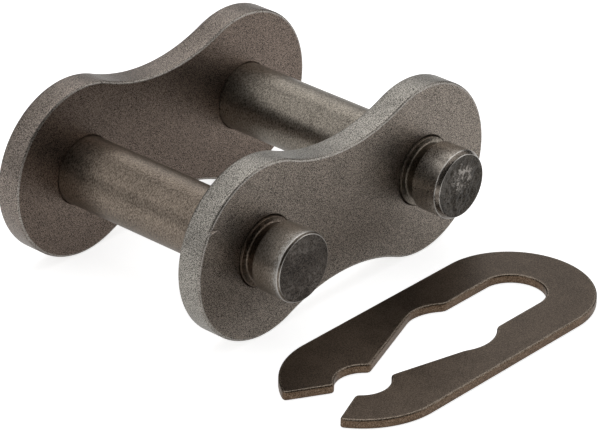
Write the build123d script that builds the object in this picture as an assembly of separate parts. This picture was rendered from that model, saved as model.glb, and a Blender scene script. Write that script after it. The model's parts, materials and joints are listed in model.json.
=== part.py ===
from build123d import *
import os
from math import sqrt

# Spring-clip connecting link of a roller chain, in millimetres, with the clip lying loose in front.
# X runs along the pitch, from the left pin to the right pin. -Y runs from the rear plate to the
# cover plate and on to the clip, and +Z is up. The origin is the middle of the whole set's
# footprint, on the surface that the plates and the clip rest on.

# ---------------------------------------------------------------- driving dimensions
pitch = 19.05                        # left pin axis to right pin axis

# both link plates
plate_end_radius = 7.6               # round ends about the pins
plate_waist_half_height = 5.6        # half the height midway between the pins
cover_plate_thickness = 2.3
rear_plate_thickness = 2.3
plate_edge_rounding = 0.25           # rolled edge of the outline, both faces
hole_rim_chamfer = 0.12
gap_between_plates = 17.8            # takes the chain's inner link

# pins
pin_diameter = 5.94
pin_past_cover_plate = 4.05          # how far a pin stands out of the cover plate
pin_end_chamfer = 0.38               # length along the pin
pin_end_chamfer_depth = 0.25         # off the radius
groove_land = 0.2                    # full-size pin between the cover plate and the groove
groove_depth = 0.53                  # off the radius
rivet_head_height = 1.2
rivet_head_overhang = 0.35           # past the pin's radius
rivet_head_rounding = 0.6
stake_mark_radius = 0.9              # conical mark in the middle of each riveted head
stake_mark_depth = 0.4

# spring clip
clip_thickness = 0.8
clip_half_width = 6.69
clip_tip_arc_start = 0.85            # where the side's tip arc starts, short of the left pin's axis
clip_tip_arc_radius = 7.45
clip_tip_half_gap = 2.85             # at the mouth, from the clip's middle line
clip_neck_depth = 1.05               # how far each neck reaches in past the groove's radius
clip_closed_end_setback = 0.1        # the closed seat's arc centre, short of the pin's axis
clip_pass_offset = 8.15              # from the closed seat to the hole that passes a whole pin
clip_pass_clearance = 0.78           # around the full-size pin end, on the radius
clip_flank_start = 1.95              # where the tapered flank meets that hole, before its middle
clip_tip_rounding = 0.35
clip_neck_rounding = 0.3

# fits, all on the radius except the groove's width
cover_hole_clearance = 0.05          # cover plate on the pins
groove_side_clearance = 0.3          # clip in the groove, along the pin
open_seat_clearance = 0.04           # clip's open seat around the left groove
closed_seat_clearance = 0.24         # clip's closed slot around the right groove

# where the loose clip lies
clip_rest_gap = 3.98                 # cover plate's face to the clip's near side
clip_rest_shift = 0.89               # closed seat to the left of the right pin
clip_rest_heading = 0.4              # degrees from parallel to the plates

# ---------------------------------------------------------------- sizes that follow
pin_radius = pin_diameter / 2
groove_radius = pin_radius - groove_depth
groove_width = clip_thickness + groove_side_clearance
head_radius = pin_radius + rivet_head_overhang
left_pin_x = -pitch / 2
right_pin_x = pitch / 2
pin_height = plate_end_radius        # the plates stand on their round ends

# The link is laid out from the cover plate's front face at y = 0.
cover_plate_back = cover_plate_thickness
rear_plate_front = cover_plate_back + gap_between_plates
rear_plate_back = rear_plate_front + rear_plate_thickness
rear_head_end = rear_plate_back + rivet_head_height


# ---------------------------------------------------------------- link plates
def plate_outline():
    """Figure eight: a round end about each pin and a concave arc above and below, all tangent."""
    reach = pitch / 2
    waist = plate_waist_half_height
    end = plate_end_radius
    waist_arc_radius = (reach**2 + waist**2 - end**2) / (2 * (end - waist))
    waist_arc_height = waist + waist_arc_radius
    lean = end / (end + waist_arc_radius)
    join_x = reach * (1 - lean)
    join_z = waist_arc_height * lean
    with BuildLine() as outline:
        ThreePointArc((join_x, join_z), (reach + end, 0), (join_x, -join_z))
        ThreePointArc((join_x, -join_z), (0, -waist), (-join_x, -join_z))
        ThreePointArc((-join_x, -join_z), (-reach - end, 0), (-join_x, join_z))
        ThreePointArc((-join_x, join_z), (0, waist), (join_x, join_z))
    return make_face(outline.line)


def link_plate(front, thickness, hole_radius):
    """A plate standing across Y, with its front face at the given y and a hole for each pin."""
    blank = extrude(plate_outline(), thickness)
    blank = fillet(blank.faces().filter_by(Axis.Z).edges(), plate_edge_rounding)
    for x in (left_pin_x, right_pin_x):
        blank -= Pos(x, 0, thickness / 2) * Cylinder(hole_radius, 2 * thickness)
    rims = blank.edges().filter_by(GeomType.CIRCLE).filter_by(
        lambda edge: abs(edge.radius - hole_radius) < hole_rim_chamfer / 2
    )
    blank = chamfer(rims, hole_rim_chamfer)
    return Pos(0, front + thickness, pin_height) * Rot(90, 0, 0) * blank


# ---------------------------------------------------------------- pins
def pin(x):
    """A turned pin along Y with its riveted head behind the rear plate and the clip's groove in
    front of the cover plate. It is drawn along Z, with z = 0 at the cover plate's front face."""
    groove_end = groove_land + groove_width
    tip = pin_past_cover_plate
    with BuildSketch(Plane.XZ) as half_section:
        with BuildLine():
            Polyline(
                (0, -rear_head_end + stake_mark_depth),
                (stake_mark_radius, -rear_head_end),
                (head_radius - rivet_head_rounding, -rear_head_end),
            )
            ThreePointArc(
                (head_radius - rivet_head_rounding, -rear_head_end),
                (
                    head_radius - rivet_head_rounding * (1 - sqrt(0.5)),
                    -rear_head_end + rivet_head_rounding * (1 - sqrt(0.5)),
                ),
                (head_radius, -rear_head_end + rivet_head_rounding),
            )
            Polyline(
                (head_radius, -rear_head_end + rivet_head_rounding),
                (head_radius, -rear_plate_back),
                (pin_radius, -rear_plate_back),
                (pin_radius, groove_land),
                (groove_radius, groove_land),
                (groove_radius, groove_end),
                (pin_radius, groove_end),
                (pin_radius, tip - pin_end_chamfer),
                (pin_radius - pin_end_chamfer_depth, tip),
                (0, tip),
                (0, -rear_head_end + stake_mark_depth),
            )
        make_face()
    turned = revolve(half_section.sketch, Axis.Z)
    return Pos(x, 0, pin_height) * Rot(90, 0, 0) * turned


# ---------------------------------------------------------------- spring clip
def clip_outline():
    """The flat clip, seen from above, with its closed seat's pin axis at the origin and its open
    end towards -X. Both legs are the same, mirrored in the X axis."""
    open_seat_radius = groove_radius + open_seat_clearance
    slot_half_width = groove_radius + closed_seat_clearance
    pass_radius = pin_radius + clip_pass_clearance
    neck_half_gap = groove_radius - clip_neck_depth
    neck_reach = sqrt(open_seat_radius**2 - neck_half_gap**2)
    flank_join = sqrt(pass_radius**2 - clip_flank_start**2)
    side_end = -pitch + clip_tip_arc_start
    tip_x = side_end - sqrt(
        clip_tip_arc_radius**2 - (clip_tip_half_gap + clip_tip_arc_radius - clip_half_width) ** 2
    )

    with BuildSketch() as blank:
        with BuildLine():
            side = clip_half_width
            tip = clip_tip_half_gap
            Line((0, side), (side_end, side))
            RadiusArc((side_end, side), (tip_x, tip), -clip_tip_arc_radius)
            Line((tip_x, tip), (tip_x, -tip))
            RadiusArc((tip_x, -tip), (side_end, -side), -clip_tip_arc_radius)
            Line((side_end, -side), (0, -side))
            ThreePointArc((0, -side), (side, 0), (0, side))
        make_face()
        # mouth, from the tips to the outer necks
        with BuildLine():
            Polyline(
                (tip_x - clip_tip_rounding, tip),
                (tip_x, tip),
                (-pitch - neck_reach, neck_half_gap),
                (-pitch, 0),
                (-pitch - neck_reach, -neck_half_gap),
                (tip_x, -tip),
                (tip_x - clip_tip_rounding, -tip),
                close=True,
            )
        make_face(mode=Mode.SUBTRACT)
        # open seat, which snaps on the left pin's groove
        with Locations((-pitch, 0)):
            Circle(open_seat_radius, mode=Mode.SUBTRACT)
        # tapered gap from the inner necks to the hole that passes a whole pin
        with BuildLine():
            flank_x = -clip_pass_offset - clip_flank_start
            Polyline(
                (-pitch, neck_half_gap),
                (-pitch + neck_reach, neck_half_gap),
                (flank_x, flank_join),
                (-clip_pass_offset, 0),
                (flank_x, -flank_join),
                (-pitch + neck_reach, -neck_half_gap),
                (-pitch, -neck_half_gap),
                close=True,
            )
        make_face(mode=Mode.SUBTRACT)
        with Locations((-clip_pass_offset, 0)):
            Circle(pass_radius, mode=Mode.SUBTRACT)
        # closed slot, with its round end behind the right pin's groove
        slot_end = -clip_closed_end_setback
        with Locations(((slot_end - clip_pass_offset) / 2, 0)):
            Rectangle(clip_pass_offset + slot_end, 2 * slot_half_width, mode=Mode.SUBTRACT)
        with Locations((slot_end, 0)):
            Circle(slot_half_width, mode=Mode.SUBTRACT)

        def corners_at(x, y):
            return blank.vertices().filter_by(
                lambda v: abs(v.X - x) < 0.01 and abs(abs(v.Y) - y) < 0.01
            )

        fillet(corners_at(tip_x, clip_tip_half_gap), clip_tip_rounding)
        fillet(corners_at(-pitch - neck_reach, neck_half_gap), clip_neck_rounding)
        fillet(corners_at(-pitch + neck_reach, neck_half_gap), clip_neck_rounding)
        shoulder_x = -clip_pass_offset + sqrt(pass_radius**2 - slot_half_width**2)
        fillet(corners_at(shoulder_x, slot_half_width), clip_neck_rounding)
    return blank.sketch


def loose_clip():
    """The clip lying flat in front of the cover plate, open end to the left."""
    flat = extrude(clip_outline(), clip_thickness)
    seat_x = right_pin_x - clip_rest_shift
    seat_y = -clip_rest_gap - clip_half_width
    return Pos(seat_x, seat_y, 0) * Rot(0, 0, clip_rest_heading) * flat


# ---------------------------------------------------------------- pieces, one file each
pieces = {
    "rear_link_plate": link_plate(rear_plate_front, rear_plate_thickness, pin_radius),
    "left_pin": pin(left_pin_x),
    "right_pin": pin(right_pin_x),
    "cover_plate": link_plate(0, cover_plate_thickness, pin_radius + cover_hole_clearance),
    "spring_clip": loose_clip(),
}

boxes = [piece.bounding_box() for piece in pieces.values()]
middle_x = (min(b.min.X for b in boxes) + max(b.max.X for b in boxes)) / 2
middle_y = (min(b.min.Y for b in boxes) + max(b.max.Y for b in boxes)) / 2
print("cover plate's front face is at y =", round(-middle_y, 4), "and the middle x was", round(middle_x, 4))

os.makedirs("parts", exist_ok=True)
for name, piece in pieces.items():
    solid = Pos(-middle_x, -middle_y, 0) * piece.solid()
    solid.label = name
    export_step(solid, f"parts/{name}.step")
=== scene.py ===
import json
import math

import bpy
import numpy as np
from mathutils import Matrix, Vector, noise
from mathutils.geometry import delaunay_2d_cdt


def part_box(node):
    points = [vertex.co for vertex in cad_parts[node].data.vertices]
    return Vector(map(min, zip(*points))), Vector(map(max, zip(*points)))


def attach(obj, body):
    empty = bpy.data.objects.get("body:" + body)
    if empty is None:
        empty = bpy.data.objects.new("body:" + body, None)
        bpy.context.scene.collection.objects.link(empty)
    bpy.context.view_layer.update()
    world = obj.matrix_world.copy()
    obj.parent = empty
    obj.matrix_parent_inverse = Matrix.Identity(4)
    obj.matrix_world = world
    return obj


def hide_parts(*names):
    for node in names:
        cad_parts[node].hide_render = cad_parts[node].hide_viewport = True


# Spring-clip connecting link of a roller chain. Lengths are worked out in millimetres, in the
# frame's axes, and every mesh is written in metres.
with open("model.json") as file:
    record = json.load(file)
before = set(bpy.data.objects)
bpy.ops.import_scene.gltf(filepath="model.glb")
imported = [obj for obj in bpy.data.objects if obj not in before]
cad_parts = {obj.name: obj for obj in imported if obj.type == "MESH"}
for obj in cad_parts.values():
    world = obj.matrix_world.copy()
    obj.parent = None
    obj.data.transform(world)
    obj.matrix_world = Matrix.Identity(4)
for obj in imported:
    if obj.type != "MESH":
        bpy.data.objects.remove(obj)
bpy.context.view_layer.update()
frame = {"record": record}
MM = 0.001


def box_mm(node):
    """Lowest and highest corner of a CAD node, in millimetres, as arrays."""
    low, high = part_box(node)
    return np.array(low) / MM, np.array(high) / MM


# ---------------------------------------------------------------- sizes, from the frame
cover_low, cover_high = box_mm("cover_plate")
rear_low, rear_high = box_mm("rear_link_plate")
pin_low, pin_high = box_mm("left_pin")
clip_low, clip_high = box_mm("spring_clip")

END_RADIUS = (cover_high[2] - cover_low[2]) / 2
PITCH = cover_high[0] - cover_low[0] - 2 * END_RADIUS
PIN_HEIGHT = END_RADIUS
PIN_RADIUS = frame["record"]["mounts"][0]["dims"]["r_mm"]
RIVET_RADIUS = (pin_high[0] - pin_low[0]) / 2
COVER_FACE = cover_low[1]
CLIP_THICKNESS = clip_high[2] - clip_low[2]

# ---------------------------------------------------------------- sizes that no box gives
WAIST_HALF_HEIGHT = 5.6
PLATE_EDGE_ROUNDING = 0.2
HOLE_RIM_ROUNDING = 0.12
COVER_HOLE_CLEARANCE = 0.05
GROOVE_LAND = 0.2
GROOVE_WIDTH = 1.1
GROOVE_RADIUS = 2.44
GROOVE_NEAR = COVER_FACE - GROOVE_LAND
GROOVE_FAR = GROOVE_NEAR - GROOVE_WIDTH

CLIP_HALF_WIDTH = 6.69
CLIP_TIP_ARC_START = 0.85
CLIP_TIP_ARC_RADIUS = 7.45
CLIP_TIP_HALF_GAP = 2.85
CLIP_NECK_DEPTH = 1.05
CLIP_CLOSED_SETBACK = 0.1
CLIP_PASS_OFFSET = 8.15
CLIP_PASS_CLEARANCE = 0.78
CLIP_FLANK_START = 1.95
CLIP_OPEN_SEAT_CLEARANCE = 0.04
CLIP_CLOSED_SEAT_CLEARANCE = 0.24
CLIP_REST_SHIFT = 0.89
CLIP_REST_GAP = 3.98
CLIP_HEADING = math.radians(0.4)
CLIP_FAR_LEG_SHIFT = 0.65
CLIP_FAR_FLANK_START = 0.6
CLIP_EDGE_ROUNDING = 0.14
CLIP_CORNER_ROUNDING = 0.4

# ---------------------------------------------------------------- how finely the meshes are cut
# A cap is a face's flat part. Its rows are CAP_ROW_SHARE of its spacing apart, and EDGE_SUPPORT is
# how far in from a rounding its outermost ring lies.
TOLERANCE = 0.01
ARC_STEP = 0.2
LINE_STEP = 0.3
CORNER_POINTS = 7
CORNER_CLEARANCE = 1.05
HOLE_POINTS = 96
TURNED_SEGMENTS = 144
CAP_SPACING = 0.45
CAP_ROW_SHARE = 0.866
CAP_BORDER_CLEARANCE = 0.05
CAP_PATCH_CLEARANCE = 0.1
EDGE_SUPPORT = 0.06
WALL_BANDS = 4


# ---------------------------------------------------------------- outlines in a plane
def arc(centre, radius, start, end):
    """Points along an arc, angles in radians, start included and end left out."""
    count = max(2, int(abs(end - start) * radius / ARC_STEP))
    angles = start + (end - start) * np.arange(count) / count
    return np.c_[centre[0] + radius * np.cos(angles), centre[1] + radius * np.sin(angles)]


def line(start, end):
    """Points along a line, start included and end left out."""
    start, end = np.array(start, float), np.array(end, float)
    count = max(1, int(np.linalg.norm(end - start) / LINE_STEP))
    return start + (end - start) * (np.arange(count) / count)[:, None]


def outward_normals(points):
    """Unit normals of a closed loop that runs anticlockwise."""
    along = np.roll(points, -1, 0) - np.roll(points, 1, 0)
    normals = np.c_[along[:, 1], -along[:, 0]]
    return normals / np.linalg.norm(normals, axis=1)[:, None]


def rounded(points, corner, reach):
    """The loop with its corner replaced by a curve that starts and ends at that reach from it."""
    away = np.linalg.norm(points - corner, axis=1)
    corner_at = int(away.argmin())
    count = len(points)
    before = next(i for i in range(1, count) if away[(corner_at - i) % count] >= reach)
    after = next(i for i in range(1, count) if away[(corner_at + i) % count] >= reach)
    first, last = points[(corner_at - before) % count], points[(corner_at + after) % count]
    first = corner + (first - corner) * reach / np.linalg.norm(first - corner)
    last = corner + (last - corner) * reach / np.linalg.norm(last - corner)
    share = np.linspace(0, 1, CORNER_POINTS)[:, None]
    curve = first * (1 - share) ** 2 + 2 * corner * share * (1 - share) + last * share**2
    kept = [points[(corner_at + after + i) % count] for i in range(count - before - after + 1)]
    kept = [p for p in kept if np.linalg.norm(p - corner) > reach * CORNER_CLEARANCE]
    return np.vstack([curve, kept])


def denser(points, centre, reach, times):
    """The loop with more points near a centre, halving its steps there a number of times."""
    for _ in range(times):
        middles = (points + np.roll(points, -1, 0)) / 2
        near = np.linalg.norm(middles - centre, axis=1) < reach
        points = np.vstack([[p, m] if n else [p] for p, m, n in zip(points, middles, near)])
    return points


def plate_outline():
    """Figure eight about both pins: round ends joined by tangent concave arcs, anticlockwise."""
    reach, waist, end = PITCH / 2, WAIST_HALF_HEIGHT, END_RADIUS
    waist_radius = (reach**2 + waist**2 - end**2) / (2 * (end - waist))
    waist_height = waist + waist_radius
    lean = math.atan2(waist_height, reach)
    return np.vstack([
        arc((reach, 0), end, -math.pi + lean, math.pi - lean),
        arc((0, waist_height), waist_radius, -lean, -math.pi + lean),
        arc((-reach, 0), end, lean, 2 * math.pi - lean),
        arc((0, -waist_height), waist_radius, math.pi - lean, lean),
    ])


def hole_outline(x, radius):
    """A hole in a plate, clockwise, as a loop inside another has to run."""
    angles = 2 * math.pi * np.arange(HOLE_POINTS) / HOLE_POINTS
    return np.c_[x + radius * np.cos(angles), radius * np.sin(angles)][::-1]


# A leg of the clip is its +Y half, with the closed seat at the origin and the open end towards -X.
def leg_outside():
    """From the middle of the closed end along the leg's side to the inner end of its tip's arc."""
    side, tip = CLIP_HALF_WIDTH, CLIP_TIP_HALF_GAP
    side_end = -PITCH + CLIP_TIP_ARC_START
    tip_centre = (side_end, side - CLIP_TIP_ARC_RADIUS)
    tip_angle = math.pi - math.asin((tip - tip_centre[1]) / CLIP_TIP_ARC_RADIUS)
    tip_x = tip_centre[0] + CLIP_TIP_ARC_RADIUS * math.cos(tip_angle)
    return np.vstack([
        arc((0, 0), side, 0, math.pi / 2),
        line((0, side), (side_end, side)),
        arc(tip_centre, CLIP_TIP_ARC_RADIUS, math.pi / 2, tip_angle),
        [(tip_x, tip)],
    ])


def leg_inside(flank_start, shift):
    """From the open seat's outer end back to the closed seat's middle, and the corners on the
    way. The flank between the seats leaves the pass hole flank_start beyond its middle, and shift
    moves the open seat at the flank's far end inwards."""
    open_seat = GROOVE_RADIUS + CLIP_OPEN_SEAT_CLEARANCE
    slot = GROOVE_RADIUS + CLIP_CLOSED_SEAT_CLEARANCE
    passing = PIN_RADIUS + CLIP_PASS_CLEARANCE
    neck = GROOVE_RADIUS - CLIP_NECK_DEPTH
    neck_angle = math.asin(neck / open_seat)
    neck_reach = open_seat * math.cos(neck_angle)
    flank_x = -CLIP_PASS_OFFSET - flank_start
    flank_angle = math.pi - math.acos(flank_start / passing)
    flank_y = passing * math.sin(flank_angle)
    flank_run = flank_x + PITCH - neck_reach
    shoulder_angle = math.asin(slot / passing)
    shoulder_x = -CLIP_PASS_OFFSET + passing * math.cos(shoulder_angle)
    slot_end = -CLIP_CLOSED_SETBACK
    points = np.vstack([
        arc((-PITCH, 0), open_seat, math.pi - neck_angle, neck_angle),
        line((-PITCH + neck_reach, neck), (flank_x, flank_y)),
        arc((-CLIP_PASS_OFFSET, 0), passing, flank_angle, shoulder_angle),
        line((shoulder_x, slot), (slot_end, slot)),
        arc((slot_end, 0), slot, math.pi / 2, 0),
        [(slot_end + slot, 0)],
    ])
    corners = np.array([(-PITCH - neck_reach, neck), (-PITCH + neck_reach, neck),
                        (flank_x, flank_y), (shoulder_x, slot)])
    for edge in (points, corners):
        edge[:, 1] -= shift * np.clip((flank_x - edge[:, 0]) / flank_run, 0, 1)
    return points, corners


def leg_outline(flank_start, shift):
    """The leg from the middle of the closed end, round its tip and back, and its corners."""
    outer = leg_outside()
    inner, corners = leg_inside(flank_start, shift)
    tip_end = line(outer[-1], corners[0])
    return np.vstack([outer[:-1], tip_end, inner]), np.vstack([corners, outer[-1]])


def clip_outline():
    """The clip from above. The loop runs anticlockwise round the outside and back round the
    inside. The far leg's open seat stands a little nearer the clip's axis than the near leg's."""
    far_leg, far_corners = leg_outline(CLIP_FAR_FLANK_START, CLIP_FAR_LEG_SHIFT)
    near_leg, near_corners = leg_outline(CLIP_FLANK_START, 0.0)
    loop = np.vstack([far_leg, near_leg[1:-1][::-1] * [1, -1]])
    for corner in [*far_corners, *(near_corners * [1, -1])]:
        loop = rounded(loop, corner, CLIP_CORNER_ROUNDING)
    return loop


# ---------------------------------------------------------------- meshes
def inside(points, loop):
    """Which points lie inside a closed loop."""
    x, y = points[:, 0][:, None], points[:, 1][:, None]
    x0, y0 = loop[:, 0], loop[:, 1]
    x1, y1 = np.roll(x0, -1), np.roll(y0, -1)
    spans = (y0 > y) != (y1 > y)
    rise = np.where(y1 == y0, 1, y1 - y0)
    crossing = x < (x1 - x0) * (y - y0) / rise + x0
    return (spans & crossing).sum(1) % 2 == 1


def inside_cap(points, loops):
    """Which points lie inside the first loop and outside the others."""
    found = inside(points, loops[0])
    for hole in loops[1:]:
        found &= ~inside(points, hole)
    return found


def nearest_distance(points, others):
    """How far each point is from the nearest of the others."""
    return np.linalg.norm(points[:, None] - others[None], axis=2).min(1)


def staggered_grid(loop):
    """Evenly spaced points over the loop's box, every second row moved half a step."""
    low, high = loop.min(0), loop.max(0)
    rows = int((high[1] - low[1]) / (CAP_SPACING * CAP_ROW_SHARE)) + 2
    columns = int((high[0] - low[0]) / CAP_SPACING) + 2
    row, column = np.mgrid[0:rows, 0:columns]
    x = low[0] + (column + 0.5 * (row % 2)) * CAP_SPACING
    y = low[1] + row * CAP_SPACING * CAP_ROW_SHARE
    return np.c_[x.ravel(), y.ravel()]


def signed_area(points, triangle):
    """Twice the triangle's area, positive if it runs anticlockwise."""
    a, b, c = (points[i] for i in triangle)
    return (b[0] - a[0]) * (c[1] - a[1]) - (b[1] - a[1]) * (c[0] - a[0])


def filled_cap(loops, patches):
    """Triangles over the area inside the first loop and outside the others, with the points of
    the patches among them. Returns the inner points and the triangles, whose numbers count the
    loops' points first, in order."""
    grid = staggered_grid(loops[0])
    for patch in patches:
        clear = nearest_distance(grid, patch) > CAP_PATCH_CLEARANCE
        grid = np.vstack([grid[clear], patch])
    edge_points = np.vstack(loops)
    grid = grid[inside_cap(grid, loops)]
    grid = grid[nearest_distance(grid, edge_points) > CAP_BORDER_CLEARANCE]
    points = np.vstack([edge_points, grid])
    edges, first = [], 0
    for loop in loops:
        count = len(loop)
        edges += [(first + i, first + (i + 1) % count) for i in range(count)]
        first += count
    whole_hull, tolerance = 0, 1e-7
    made = delaunay_2d_cdt([Vector(p) for p in points], edges, [], whole_hull, tolerance)
    corners = np.array([list(p) for p in made[0]])
    triangles = np.array([t for t in made[2] if len(t) == 3])
    origins = [ids[0] if ids else None for ids in made[3]]
    triangles = triangles[inside_cap(corners[triangles].mean(1), loops)]
    triangles = [[origins[i] for i in t] for t in triangles]
    return grid, [t if signed_area(points, t) > 0 else t[::-1] for t in triangles]


# Wear and painted highlight from a face's border round the rounding to the wall, in equal steps
# of angle. The bright flecks on roundings are partly wear and partly a painted highlight.
ROUNDING_WEAR_AND_HIGHLIGHT = (0.85, 0.85, 0.75, 0.65, 0.5, 0.25)


def edge_profile(rounding, thickness, border_highlight, wall_wear):
    """(inset, height, wear and highlight, tone) of the rings from the top face's border down the
    wall to the bottom face's. The border ring's brightness is a painted highlight."""
    # The face's border ring: a thin painted highlight along the edge.
    half = [(rounding + EDGE_SUPPORT, thickness, border_highlight, 0.0)]
    for share, wear_and_highlight in zip(np.linspace(0, 1, len(ROUNDING_WEAR_AND_HIGHLIGHT)), ROUNDING_WEAR_AND_HIGHLIGHT):
        angle = math.pi / 2 * share
        inset = rounding * (1 - math.sin(angle))
        half.append((inset, thickness - rounding * (1 - math.cos(angle)), wear_and_highlight, share))
    drop = (thickness - 2 * rounding) / WALL_BANDS
    wall = [(0.0, thickness - rounding - drop * i, wall_wear, 1.0) for i in range(1, WALL_BANDS)]
    other_half = [(inset, thickness - height, wear_and_highlight, tone)
                  for inset, height, wear_and_highlight, tone in reversed(half)]
    return half + wall + other_half


def rim(outline, profile, first):
    """A slab's edge: a ring of points for each row of the profile, the points' numbers counted
    from first, and the faces between the rings."""
    count = len(outline)
    normals = outward_normals(outline)
    points, faces = [], []
    for inset, height, _, _ in profile:
        points += [(x, y, height) for x, y in outline - normals * inset]
    for a in range(first, first + len(points) - count, count):
        b = a + count
        for i in range(count):
            j = (i + 1) % count
            faces.append([a + i, b + i, b + j, a + j])
    return points, faces


def slab(loops, thickness, patches=(), border_highlight=0.1, wall_wear=0.0):
    """A flat piece with rounded edges. loops is [(outline, rounding)], the outer one first;
    patches are more points for both faces. Returns points (x, y, height), faces, wear and
    painted highlight along edges, and tone on walls."""
    points, wear_and_highlight, tone, faces = [], [], [], []
    tops, bottoms = [], []
    for outline, rounding in loops:
        count = len(outline)
        profile = edge_profile(rounding, thickness, border_highlight, wall_wear)
        rim_points, rim_faces = rim(outline, profile, len(points))
        tops.append(range(len(points), len(points) + count))
        points += rim_points
        bottoms.append(range(len(points) - count, len(points)))
        faces += rim_faces
        for _, _, ring_wear_and_highlight, ring_tone in profile:
            wear_and_highlight += [ring_wear_and_highlight] * count
            tone += [ring_tone] * count
    top_loops = [np.array([points[i][:2] for i in ids]) for ids in tops]
    grid, triangles = filled_cap(top_loops, patches)
    for ids, height, flip in ((tops, thickness, False), (bottoms, 0.0, True)):
        names = [i for group in ids for i in group]
        names += range(len(points), len(points) + len(grid))
        points += [(x, y, height) for x, y in grid]
        wear_and_highlight += [0.0] * len(grid)
        tone += [0.0] * len(grid)
        faces += [[names[i] for i in (t[::-1] if flip else t)] for t in triangles]
    return np.array(points), faces, np.array(wear_and_highlight), np.array(tone)


def turned(profile):
    """A piece of revolution about its second axis. profile is [(radius, along, wear and highlight,
    tone)] from one end's middle to the other's. Returns points (x, along, z), faces, wear and
    painted highlight, and tone."""
    points, wear_and_highlight, tone, faces = [], [], [], []
    rings = []
    for radius, along, ring_wear_and_highlight, ring_tone in profile:
        count = TURNED_SEGMENTS if radius > 0 else 1
        rings.append(range(len(points), len(points) + count))
        for i in range(count):
            angle = 2 * math.pi * i / TURNED_SEGMENTS
            points.append((radius * math.cos(angle), along, radius * math.sin(angle)))
        wear_and_highlight += [ring_wear_and_highlight] * count
        tone += [ring_tone] * count
    for a, b in zip(rings, rings[1:]):
        for i in range(TURNED_SEGMENTS):
            j = (i + 1) % TURNED_SEGMENTS
            if len(a) == 1:
                faces.append([a[0], b[j], b[i]])
            elif len(b) == 1:
                faces.append([a[i], a[j], b[0]])
            else:
                faces.append([a[i], a[j], b[j], b[i]])
    return np.array(points, float), faces, np.array(wear_and_highlight), np.array(tone)


def make_piece(name, points_mm, faces, wear_and_highlight, tone, materials, face_material=None):
    """A smooth-shaded object from points in the frame's millimetres."""
    mesh = bpy.data.meshes.new(name)
    mesh.from_pydata([tuple(p) for p in points_mm * MM], [], faces)
    mesh.validate()
    # edge_wear_and_highlight holds wear and painted highlights; tone holds a rim's own colour and,
    # on the pins, painted shade.
    for attribute_name, values in (("edge_wear_and_highlight", wear_and_highlight), ("tone", tone)):
        made = mesh.attributes.new(attribute_name, "FLOAT", "POINT")
        made.data.foreach_set("value", np.asarray(values, np.float32))
    for material in materials:
        mesh.materials.append(material)
    if face_material is not None:
        mesh.polygons.foreach_set("material_index", face_material)
    mesh.shade_smooth()
    piece = bpy.data.objects.new(name, mesh)
    bpy.context.scene.collection.objects.link(piece)
    return piece


def ripple(points, scale, offset):
    """Smooth noise from -1 to 1 at points in millimetres. scale is the size of its swells."""
    shift = Vector(offset)
    return np.array([noise.noise(Vector(p) / scale + shift) for p in points])


# ---------------------------------------------------------------- shader nodes
def add(tree, kind, inputs=None, **settings):
    """A new node with its settings and the values of its unlinked inputs."""
    made = tree.nodes.new("ShaderNode" + kind)
    for key, value in settings.items():
        setattr(made, key, value)
    for key, value in (inputs or {}).items():
        made.inputs[key].default_value = value
    return made


def noise_at(tree, vector, size_mm, detail, roughness=0.6, distortion=0.0):
    """Noise whose grains are about that size, as an output from 0 to 1."""
    made = add(tree, "TexNoise", {"Scale": 1 / size_mm, "Detail": detail, "Roughness": roughness,
                                  "Distortion": distortion})
    tree.links.new(vector, made.inputs["Vector"])
    return made.outputs["Fac"]


def maths(tree, operation, *values):
    """One Math node's result for outputs and constants, as an output."""
    made = add(tree, "Math", operation=operation)
    for socket, value in zip(made.inputs, values):
        if isinstance(value, (int, float)):
            socket.default_value = value
        else:
            tree.links.new(value, socket)
    return made.outputs["Value"]


def remap(tree, value, start, end, low=0.0, high=1.0):
    """The value from start to end stretched to low to high, and held there outside."""
    made = add(tree, "MapRange", {"From Min": start, "From Max": end,
                                  "To Min": low, "To Max": high})
    tree.links.new(value, made.inputs["Value"])
    return made.outputs["Result"]


def blend(tree, share, first, second, mode="MIX"):
    """Two colours mixed; each is an output or a constant."""
    made = add(tree, "Mix", data_type="RGBA", blend_type=mode)
    sockets = [i for i in made.inputs if i.type == "RGBA"]
    tree.links.new(share, made.inputs[0])
    for socket, value in zip(sockets, (first, second)):
        if isinstance(value, tuple):
            socket.default_value = (*value, 1)
        else:
            tree.links.new(value, socket)
    return next(o for o in made.outputs if o.type == "RGBA")


def attribute(tree, name):
    """A value stored on the mesh's points, as an output."""
    return add(tree, "Attribute", attribute_name=name).outputs["Fac"]


def object_millimetres(tree, stretch):
    """The piece's own coordinates in millimetres, scaled by stretch, then turned off its axes."""
    scale = tuple(part / MM for part in stretch)
    mapping = add(tree, "Mapping", {"Scale": scale, "Rotation": (0.4, 0.7, 0.2)})
    tree.links.new(add(tree, "TexCoord").outputs["Object"], mapping.inputs["Vector"])
    return mapping.outputs["Vector"]


# ---------------------------------------------------------------- steels
BLOTCH_SIZE = 2.2
GRAIN_RANGE = (0.3, 0.7)
FLECK_CONTRAST = 1.6
FLECK_RANGE = (0.55, 1.0)
PITS_PER_MM = 1.1
PIT_EDGE = (0.06, 0.12)
PIT_AREA_SIZE = 1.7
PIT_AREA_RANGE = (0.5, 0.6)
PIT_COLOUR = (0.02, 0.017, 0.015)
SCUFF_SIZE = 1 / 2.6
SCUFF_RANGE = (0.47, 0.6)
SCUFF_AREA_SIZE = 2.1
SCUFF_AREA_RANGE = (0.42, 0.62)


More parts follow.
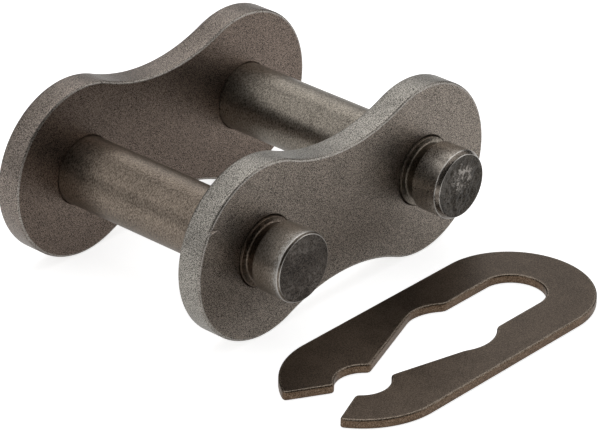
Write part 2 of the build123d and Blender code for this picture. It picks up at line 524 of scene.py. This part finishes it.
def pitted(tree, vector, colour, strength):
    """The colour with small dark pits here and there."""
    cells = add(tree, "TexVoronoi", {"Scale": PITS_PER_MM, "Randomness": 1.0})
    tree.links.new(vector, cells.inputs["Vector"])
    pit = remap(tree, cells.outputs["Distance"], *PIT_EDGE, 1.0, 0.0)
    area = remap(tree, noise_at(tree, vector, PIT_AREA_SIZE, 1.0), *PIT_AREA_RANGE)
    share = maths(tree, "MULTIPLY", pit, maths(tree, "MULTIPLY", area, strength))
    return blend(tree, share, colour, PIT_COLOUR)


def scuffed(tree, vector, colour, wear_and_highlight_colour, strength):
    """The colour with bright torn patches."""
    torn = noise_at(tree, vector, SCUFF_SIZE, 4.0, roughness=0.75, distortion=1.2)
    area = remap(tree, noise_at(tree, vector, SCUFF_AREA_SIZE, 1.0), *SCUFF_AREA_RANGE)
    share = maths(tree, "MULTIPLY", remap(tree, torn, *SCUFF_RANGE, 0.0, strength), area)
    return blend(tree, share, colour, wear_and_highlight_colour)


def steel(name, dark, light, toned, wear_and_highlight_colour, roughness, grain_mm, bump_mm, contrast, mottle,
          pits=0.0, scuffs=0.0, stretch=(1, 1, 1)):
    """Steel with a fine grain over slow mottling. Its colour is multiplied by toned where the
    mesh's tone is 1, and turns to the wear and highlight colour in flecks where
    edge_wear_and_highlight is high; these flecks are partly wear and partly painted highlight.
    pits is how strong its small dark pits are, and scuffs its bright torn patches. stretch scales
    the coordinates, so that a grain can run round a shaft."""
    material = bpy.data.materials.new(name)
    material.use_nodes = True
    tree = material.node_tree
    link = tree.links.new
    shader = tree.nodes["Principled BSDF"]
    shader.inputs["Metallic"].default_value = 1.0

    vector = object_millimetres(tree, stretch)
    grain = noise_at(tree, vector, grain_mm, 1.0)
    centred_grain = maths(tree, "SUBTRACT", grain, 0.5)
    blotch = noise_at(tree, vector, BLOTCH_SIZE, 3.0)
    slow = maths(tree, "MULTIPLY_ADD", blotch, mottle, 0.5 - mottle / 2)
    both = maths(tree, "MULTIPLY_ADD", centred_grain, contrast, slow)
    colour = blend(tree, remap(tree, both, *GRAIN_RANGE), dark, light)
    tone = attribute(tree, "tone")
    colour = blend(tree, maths(tree, "MULTIPLY", tone, tone), colour, toned, "MULTIPLY")
    if pits:
        colour = pitted(tree, vector, colour, pits)
    if scuffs:
        colour = scuffed(tree, vector, colour, wear_and_highlight_colour, scuffs)
    # Flecks of the wear and highlight colour: partly wear, partly painted highlight.
    wear_and_highlight = attribute(tree, "edge_wear_and_highlight")
    fleck = maths(tree, "MULTIPLY_ADD", centred_grain, FLECK_CONTRAST, wear_and_highlight)
    colour = blend(tree, remap(tree, fleck, *FLECK_RANGE), colour, wear_and_highlight_colour)

    link(colour, shader.inputs["Base Color"])
    link(remap(tree, both, *GRAIN_RANGE, *roughness), shader.inputs["Roughness"])
    bump = add(tree, "Bump", {"Strength": 1.0, "Distance": bump_mm * MM})
    link(grain, bump.inputs["Height"])
    link(bump.outputs["Normal"], shader.inputs["Normal"])
    return material


def scaled(colour, factors):
    """A colour times one factor for each channel."""
    return tuple(c * f for c, f in zip(colour, factors))


def peened_steel(name, factors):
    """Shot-peened plate, greyer on its rim than on its faces."""
    return steel(name, dark=scaled((0.036, 0.03, 0.025), factors),
                 light=scaled((0.395, 0.326, 0.274), factors),
                 toned=(1.3, 1.41, 1.48), wear_and_highlight_colour=(0.5, 0.47, 0.43), roughness=(0.32, 0.43),
                 grain_mm=0.07, bump_mm=0.009, contrast=1.6, mottle=0.12, pits=0.7)


def ground_steel(name, factors, contrast, roughness):
    """Ground pin, with a grain that runs round it, and painted shade where its tone is high: in
    its groove, on the shaft in front of the cover plate and on its chamfer.
    """
    return steel(name, dark=scaled((0.12, 0.10, 0.083), factors),
                 light=scaled((0.41, 0.355, 0.30), factors),
                 toned=(0.42, 0.38, 0.35), wear_and_highlight_colour=(0.5, 0.48, 0.45), roughness=roughness,
                 grain_mm=0.08, bump_mm=0.004, contrast=contrast, mottle=0.2,
                 stretch=(0.5, 1, 0.5))


def cropped_end(name, factors, scuffs):
    """A pin's cropped front end, dull and uneven."""
    return steel(name, dark=scaled((0.03, 0.026, 0.022), factors),
                 light=scaled((0.175, 0.149, 0.127), factors),
                 toned=(1.9, 1.9, 1.9), wear_and_highlight_colour=(0.37, 0.34, 0.31), roughness=(0.3, 0.5),
                 grain_mm=0.11, bump_mm=0.025, contrast=1.4, mottle=0.4, scuffs=scuffs)


# Lighter and darker copies of one peened steel: painted light on the cover plate in front, painted
# shade on the rear plate behind it.
COVER_STEEL = peened_steel("peened_cover_steel", (1.11, 1.16, 1.18))
REAR_STEEL = peened_steel("peened_rear_steel", (0.84, 0.8, 0.79))
RIVET_STEEL = ground_steel("rivet_head_steel", (0.92, 0.9, 0.87), 1.0, (0.34, 0.44))
BROWNED = steel("browned_clip_steel", dark=(0.05, 0.037, 0.027), light=(0.147, 0.113, 0.086),
                toned=(1.6, 1.42, 1.25), wear_and_highlight_colour=(0.3, 0.25, 0.2), roughness=(0.34, 0.42),
                grain_mm=0.09, bump_mm=0.003, contrast=1.4, mottle=0.35)


# ---------------------------------------------------------------- link plates
HOLE_RIM_REACH = 0.3
HOLE_RIM_WEAR_AND_HIGHLIGHT = 0.25

NICK_START = np.array([-16.05, 4.02])
NICK_END = np.array([-14.95, 3.98])
NICK_HALF_WIDTH = 0.13
NICK_DEPTH = 0.17
NICK_RIM_REACH = 0.5
NICK_FADE_POWER = 0.7
LIP_WEAR = 3
# These are shares of the nick's length, half width and depth.
NICK_OVERRUN = 0.3
NICK_PATCH_LENGTH = 1.05
NICK_PATCH_HALF_WIDTH = 2.4
LIP_MIDDLE = -1.5
LIP_HALF_WIDTH = 0.9
LIP_HEIGHT = 0.35


def nick_patch():
    """Close-set points over the nick and its lip, from the rim inwards."""
    rows, columns = 17, 30
    along = np.linspace(0, NICK_PATCH_LENGTH, columns)[:, None]
    across = np.linspace(-NICK_PATCH_HALF_WIDTH, NICK_PATCH_HALF_WIDTH, rows) * NICK_HALF_WIDTH
    spine = NICK_START + (NICK_END - NICK_START) * along
    return np.vstack([spine + (0, offset) for offset in across])


def nick_depth(points):
    """How far the nick cuts in at each point: a V that runs out inwards, with a raised lip."""
    along = (points[:, 0] - NICK_START[0]) / (NICK_END[0] - NICK_START[0])
    across = (points[:, 1] - NICK_START[1]) / NICK_HALF_WIDTH
    cut = np.clip(1 - np.abs(across), 0, 1)
    lip = -LIP_HEIGHT * np.clip(1 - np.abs(across - LIP_MIDDLE) / LIP_HALF_WIDTH, 0, 1)
    fade = np.clip(1 - along, 0, 1) ** NICK_FADE_POWER * (along > -NICK_OVERRUN)
    return NICK_DEPTH * fade * (cut + lip)


def link_plate(name, body, replaced, box, hole_radius, material, nicked=False):
    """A plate across Y. The slab is drawn lying down, with its top as the plate's front face."""
    front, thickness = box[0][1], box[1][1] - box[0][1]
    outline = plate_outline()
    if nicked:
        outline = denser(outline, NICK_START, NICK_RIM_REACH, times=2)
    loops = [(outline, PLATE_EDGE_ROUNDING)]
    loops += [(hole_outline(x, hole_radius), HOLE_RIM_ROUNDING) for x in (-PITCH / 2, PITCH / 2)]
    flat, faces, wear_and_highlight, tone = slab(loops, thickness, [nick_patch()] if nicked else [])
    from_hole_middle = np.hypot(np.abs(flat[:, 0]) - PITCH / 2, flat[:, 1])
    at_hole = from_hole_middle < hole_radius + HOLE_RIM_REACH
    wear_and_highlight[at_hole] *= HOLE_RIM_WEAR_AND_HIGHLIGHT
    tone[at_hole] = 0.0
    if nicked:
        in_front = flat[:, 2] > thickness - PLATE_EDGE_ROUNDING - TOLERANCE
        cut = nick_depth(flat) * in_front
        flat[:, 2] -= cut
        wear_and_highlight = np.maximum(wear_and_highlight, -cut / NICK_DEPTH * LIP_WEAR)
    points = np.c_[flat[:, 0], front + thickness - flat[:, 2], flat[:, 1] + PIN_HEIGHT]
    piece = make_piece(name, points, faces, wear_and_highlight, tone, [material])
    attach(piece, body)
    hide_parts(replaced)


link_plate("cover_plate_peened", "cover_plate", "cover_plate", (cover_low, cover_high),
           PIN_RADIUS + COVER_HOLE_CLEARANCE, COVER_STEEL, nicked=True)
link_plate("rear_plate_peened", "pin_link", "rear_link_plate", (rear_low, rear_high),
           PIN_RADIUS, REAR_STEEL)


# ---------------------------------------------------------------- pins
STAKE_RADIUS = 0.9
STAKE_DEPTH = 0.4
RIVET_ROUNDING = 0.6
RIVET_ROUNDING_STEPS = 6
SHAFT_RINGS = 60
HEAD_RINGS = 14
END_RINGS = 26

HOLLOWS_MARGIN = 0.1
HOLLOWS_FADE = 0.5
HOLLOWS_BIAS = 0.25
WIDE_HOLLOW_SIZE = 0.8
WIDE_HOLLOW_SHARE = 0.6
FINE_HOLLOW_SIZE = 0.28
FINE_HOLLOW_SHARE = 0.5
TORN_MIDDLE_X = 0.1
TORN_MIDDLE_Z = 0.8
TORN_SPREAD = 1.8
TORN_WEAR = 8.5
TORN_BIAS = 0.65
TORN_CONTRAST = 2.4
TORN_LIMIT = 1.2


# The rings of a pin run from the middle of its riveted head to the middle of its front end. Each
# is (radius, y, wear and highlight, tone), with tone 1 where painted shade darkens the groove.
def rivet_rings():
    """The riveted head, from its stake mark over its rounded edge to the rear plate."""
    back, plate_back = pin_high[1], rear_high[1]
    rings = [
        (0, back - STAKE_DEPTH, 0, 0),
        (STAKE_RADIUS / 2, back - STAKE_DEPTH / 2, 0, 0),
        (STAKE_RADIUS, back, 0.6, 0),
        (1.6, back, 0.1, 0),
        (2.2, back, 0.1, 0),
        (RIVET_RADIUS - RIVET_ROUNDING, back, 0.2, 0),
    ]
    for step in range(1, RIVET_ROUNDING_STEPS + 1):
        angle = math.pi / 2 * step / RIVET_ROUNDING_STEPS
        radius = RIVET_RADIUS - RIVET_ROUNDING * (1 - math.sin(angle))
        rings.append((radius, back - RIVET_ROUNDING * (1 - math.cos(angle)), 0.3, 0))
    return rings + [(RIVET_RADIUS, plate_back, 0, 0), (PIN_RADIUS, plate_back, 0, 0)]


def shaft_rings():
    """The shaft from the rear plate through the cover plate, darkened by painted shade in front of
    that.
    """
    along = np.linspace(rear_high[1] - 0.05, GROOVE_NEAR + 0.05, SHAFT_RINGS)
    # tone 1 in front of the cover plate paints shade on the shaft there.
    return [(PIN_RADIUS, y, 0, float(y < COVER_FACE + 0.05)) for y in along]


def groove_rings():
    """The clip's groove, darkened by painted shade: a near wall with a painted highlight along its
    foot, a floor in full painted shade, and a far wall with a bright edge."""
    return [
        (PIN_RADIUS - 0.02, GROOVE_NEAR, 0.1, 1),
        (PIN_RADIUS - 0.07, GROOVE_NEAR, 0, 0.6),
        (GROOVE_RADIUS + 0.12, GROOVE_NEAR, 0, 0.4),
        # These two rings paint a highlight along the near wall's foot.
        (GROOVE_RADIUS + 0.05, GROOVE_NEAR - 0.03, 0.4, 0.8),
        (GROOVE_RADIUS, GROOVE_NEAR - 0.1, 0.25, 0.8),
        (GROOVE_RADIUS, GROOVE_NEAR - 0.18, 0, 1),
        (GROOVE_RADIUS, GROOVE_FAR + 0.08, 0, 1),
        (GROOVE_RADIUS + 0.08, GROOVE_FAR, 0, 1),
        (PIN_RADIUS - 0.08, GROOVE_FAR, 0.2, 0.5),
        (PIN_RADIUS - 0.02, GROOVE_FAR - 0.01, 0.6, 0),
        (PIN_RADIUS, GROOVE_FAR - 0.05, 0.2, 0),
    ]


def head_rings(chamfer_start, end_highlight):
    """The pin in front of its groove, brightened towards its chamfer by a painted highlight."""
    share = np.linspace(0, 1, HEAD_RINGS)
    start, end = GROOVE_FAR - 0.12, chamfer_start + 0.06
    return [(PIN_RADIUS, start + (end - start) * s, end_highlight * s**3, 0) for s in share]


def end_rings(chamfer_start, end_radius):
    """The chamfer, darkened by painted shade, between its two edges brightened by painted
    highlights, and the flat end to its middle.
    """
    front = pin_low[1]
    rings = [
        # Painted highlights on the chamfer's edges and the end's rim, and painted shade over the
        # chamfer between them.
        (PIN_RADIUS, chamfer_start + 0.02, 1.0, 0),
        (PIN_RADIUS - 0.02, chamfer_start - 0.02, 1.3, 0),
        (PIN_RADIUS - 0.04, chamfer_start - 0.06, 0, 0.8),
        (end_radius + 0.04, front + 0.06, 0, 0.8),
        (end_radius + 0.01, front + 0.02, 1.3, 0),
        (end_radius - 0.02, front, 1.3, 0),
        (end_radius - 0.06, front, 0, 0),
    ]
    rings += [(radius, front, 0, 0) for radius in np.linspace(end_radius - 0.12, 0.1, END_RINGS)]
    return rings + [(0, front, 0, 0)]


def torn_end(points, wear_and_highlight, end_radius, depth):
    """Adds the relief of a cropped end: hollows of two sizes that fade out towards its edge, and
    bright torn metal on the raised parts about a place above its middle."""
    on_end = np.flatnonzero(points[:, 1] < pin_low[1] + TOLERANCE)
    spots = points[on_end]
    from_edge = end_radius - np.hypot(spots[:, 0], spots[:, 2])
    fade = np.clip((from_edge - HOLLOWS_MARGIN) / HOLLOWS_FADE, 0, 1)
    hollows = WIDE_HOLLOW_SHARE * ripple(spots, WIDE_HOLLOW_SIZE, (3, 1, 4))
    hollows += FINE_HOLLOW_SHARE * ripple(spots, FINE_HOLLOW_SIZE, (1, 5, 9))
    points[on_end, 1] += depth * fade * np.clip(hollows + HOLLOWS_BIAS, 0, 1)
    from_middle = np.hypot(spots[:, 0] - TORN_MIDDLE_X, spots[:, 2] - TORN_MIDDLE_Z)
    near_middle = np.exp(-from_middle**2 / TORN_SPREAD)
    raised = np.clip(TORN_BIAS - hollows * TORN_CONTRAST, 0, TORN_LIMIT)
    wear_and_highlight[on_end] += TORN_WEAR * depth * near_middle * fade * raised


def pin(side, x, chamfer, end_highlight, tear, scuffs, shaft, head, end, head_roughness):
    """A pin at x. chamfer is its front chamfer's length and depth, end_highlight how bright the
    painted highlight beside that is, tear how deep the relief of its end is and scuffs how strong
    the end's bright patches.
    shaft, head and end are the colour factors of its steels."""
    chamfer_start = pin_low[1] + chamfer[0]
    end_radius = PIN_RADIUS - chamfer[1]
    profile = rivet_rings() + shaft_rings() + groove_rings()
    profile += head_rings(chamfer_start, end_highlight) + end_rings(chamfer_start, end_radius)
    points, faces, wear_and_highlight, tone = turned(profile)
    heights = np.array([points[face][:, 1].max() for face in faces])
    on_rivet = heights > rear_high[1] + TOLERANCE
    on_end = heights < pin_low[1] + TOLERANCE
    on_head = heights < GROOVE_FAR + TOLERANCE
    torn_end(points, wear_and_highlight, end_radius, tear)
    points += [x, 0, PIN_HEIGHT]
    materials = [ground_steel(side + "_pin_shaft_steel", shaft, 1.2, (0.3, 0.4)),
                 ground_steel(side + "_pin_head_steel", head, 0.8, head_roughness),
                 cropped_end(side + "_pin_end_steel", end, scuffs),
                 RIVET_STEEL]
    face_material = np.select([on_rivet, on_end, on_head], [3, 2, 1], 0)
    piece = make_piece(side + "_pin_ground", points, faces, wear_and_highlight, tone, materials, face_material)
    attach(piece, "pin_link")
    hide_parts(side + "_pin")


# Each head's steel is a lighter copy of its shaft's steel: a painted highlight on the head in
# front of the cover plate.
pin("left", -PITCH / 2, chamfer=(0.2, 0.15), end_highlight=1.0, tear=0.05, scuffs=0.35,
    shaft=(0.88, 0.84, 0.8), head=(1.15, 1.17, 1.18), end=(0.7, 0.7, 0.71),
    head_roughness=(0.28, 0.38))
pin("right", PITCH / 2, chamfer=(0.38, 0.25), end_highlight=0.3, tear=0.14, scuffs=0.2,
    shaft=(1.1, 1.14, 1.14), head=(1.5, 1.57, 1.64), end=(0.6, 0.62, 0.62),
    head_roughness=(0.22, 0.32))


# ---------------------------------------------------------------- spring clip
def spring_clip():
    """The clip, flat on the surface in front of the link, a little turned."""
    # The clip's face borders carry a painted highlight; the flecks on its walls are wear.
    flat, faces, wear_and_highlight, tone = slab([(clip_outline(), CLIP_EDGE_ROUNDING)], CLIP_THICKNESS,
                                   border_highlight=0.5, wall_wear=0.45)
    cos, sin = math.cos(CLIP_HEADING), math.sin(CLIP_HEADING)
    x, y = flat[:, 0], flat[:, 1]
    seat_x = PITCH / 2 - CLIP_REST_SHIFT
    seat_y = COVER_FACE - CLIP_REST_GAP - CLIP_HALF_WIDTH
    points = np.c_[seat_x + x * cos - y * sin, seat_y + x * sin + y * cos, flat[:, 2]]
    piece = make_piece("spring_clip_browned", points, faces, wear_and_highlight, tone, [BROWNED])
    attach(piece, "spring_clip")
    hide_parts("spring_clip")


spring_clip()


# ---------------------------------------------------------------- floor, light and camera
# The floor's and the softboxes' lengths are in metres.
FLOOR_HALF_WIDTH = 1.5
FLOOR_HEIGHT = -0.00002
FLOOR_GLOW = 0.33
FLOOR_GLOW_SEEN = 0.78
BACKDROP_GLOW = 0.03
BACKDROP_GLOW_SEEN = 0.8
SOFTBOX_DISTANCE = 0.5

# Name, azimuth and elevation in degrees, width in metres, brightness. Azimuth 0 is behind the
# link, at +Y, and 90 is to its right, at +X. The tent is open, and so dark, on the camera's side.
SOFTBOXES = (
    ("overhead", 0, 90, 0.42, 0.98),
    ("high_behind", 0, 50, 0.42, 0.44),
    ("high_right_behind", 60, 50, 0.42, 1.05),
    ("high_left_behind", 300, 50, 0.42, 0.72),
    ("low_right_behind", 45, 18, 0.3, 0.34),
    ("low_right_front", 135, 18, 0.3, 1.38),
    ("high_right", 114, 43, 0.4, 0.5),
    ("low_left", 270, 18, 0.3, 0.72),
    ("low_left_behind", 315, 18, 0.3, 0.52),
)


def glow(tree, strength, seen_strength):
    """A strength for lighting the link and another for what the camera sees, as an output."""
    seen = add(tree, "LightPath").outputs["Is Camera Ray"]
    return remap(tree, seen, 0.0, 1.0, strength, seen_strength)


def floor():
    """A wide white sweep, just under the clip so that the two share no plane. It glows a little,
    as a sheet that is lit through does, and more to the camera than to the link, so that it
    stays white in shadow."""
    material = bpy.data.materials.new("white_sweep")
    material.use_nodes = True
    tree = material.node_tree
    shader = tree.nodes["Principled BSDF"]
    shader.inputs["Base Color"].default_value = (0.85, 0.85, 0.85, 1)
    shader.inputs["Roughness"].default_value = 1.0
    shader.inputs["Specular IOR Level"].default_value = 0.0
    shader.inputs["Emission Color"].default_value = (1, 1, 1, 1)
    tree.links.new(glow(tree, FLOOR_GLOW, FLOOR_GLOW_SEEN), shader.inputs["Emission Strength"])
    half, height = FLOOR_HALF_WIDTH, FLOOR_HEIGHT
    corners = [(x * half, y * half, height) for x, y in ((-1, -1), (1, -1), (1, 1), (-1, 1))]
    mesh = bpy.data.meshes.new("floor")
    mesh.from_pydata(corners, [], [(0, 1, 2, 3)])
    mesh.materials.append(material)
    sweep = bpy.data.objects.new("floor", mesh)
    bpy.context.scene.collection.objects.link(sweep)


def softbox(name, azimuth, elevation, size, brightness):
    """A square soft light at a fixed distance from the link, turned to it."""
    across, up = math.radians(azimuth), math.radians(elevation)
    level = math.cos(up)
    towards = Vector((math.sin(across) * level, math.cos(across) * level, math.sin(up)))
    data = bpy.data.lights.new(name, "AREA")
    data.shape = "SQUARE"
    data.size = size
    data.energy = brightness * math.pi * size**2
    light = bpy.data.objects.new(name, data)
    light.location = towards * SOFTBOX_DISTANCE
    light.rotation_euler = (-towards).to_track_quat("-Z", "Y").to_euler()
    bpy.context.scene.collection.objects.link(light)


def backdrop():
    """A world that the camera sees white, but that hardly lights the link."""
    world = bpy.data.worlds.new("studio")
    world.use_nodes = True
    tree = world.node_tree
    background = tree.nodes["Background"]
    background.inputs["Color"].default_value = (1, 1, 1, 1)
    tree.links.new(glow(tree, BACKDROP_GLOW, BACKDROP_GLOW_SEEN), background.inputs["Strength"])
    bpy.context.scene.world = world


def camera():
    """A long lens from the front left, looking down on the link at about 28 degrees."""
    azimuth, elevation, roll = -0.8414, 0.4889, 0.0146
    distance = 288.29
    target = np.array([-5.534, COVER_FACE, 9.114])
    back = np.array([math.sin(azimuth) * math.cos(elevation),
                     -math.cos(azimuth) * math.cos(elevation), math.sin(elevation)])
    level = np.array([math.cos(azimuth), math.sin(azimuth), 0])
    up = np.cross(back, level)
    right = level * math.cos(roll) + up * math.sin(roll)
    top = -level * math.sin(roll) + up * math.cos(roll)
    data = bpy.data.cameras.new("camera")
    data.sensor_width = 36
    data.lens = 219.15
    data.clip_start = 0.01
    data.clip_end = 10
    view = bpy.data.objects.new("camera", data)
    turn = Matrix((right, top, back)).transposed().to_4x4()
    view.matrix_world = Matrix.Translation(Vector((target + back * distance) * MM)) @ turn
    bpy.context.scene.collection.objects.link(view)
    bpy.context.scene.camera = view


floor()
for settings in SOFTBOXES:
    softbox(*settings)
backdrop()
camera()
bpy.context.scene.view_settings.view_transform = "Standard"
